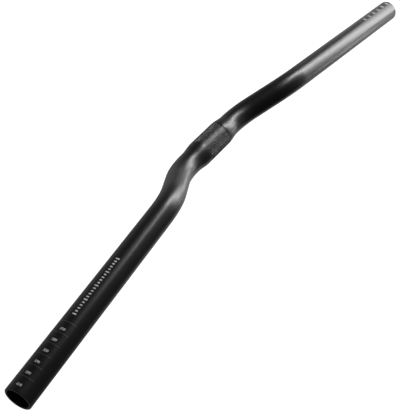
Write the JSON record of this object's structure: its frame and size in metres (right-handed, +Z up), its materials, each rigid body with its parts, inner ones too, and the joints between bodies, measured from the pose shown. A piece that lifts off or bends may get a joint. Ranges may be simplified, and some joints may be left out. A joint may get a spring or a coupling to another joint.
{
  "type": "riser handlebar",
  "caption": "Bent tube handlebar with a thicker clamp section, ramps that rise to each side, and straight open-ended grip sections that sweep back and slightly up.",
  "frame": {"origin": "middle of the clamp section, on its axis", "axes": "+X along the clamp section to the rider's right, +Y forward, +Z up"},
  "size_m": [0.6322, 0.0441, 0.0618],
  "materials": {
    "bar": "satin black"
  },
  "bodies": {
    "root": {"handlebar": "bar"}
  },
  "joints": []
}
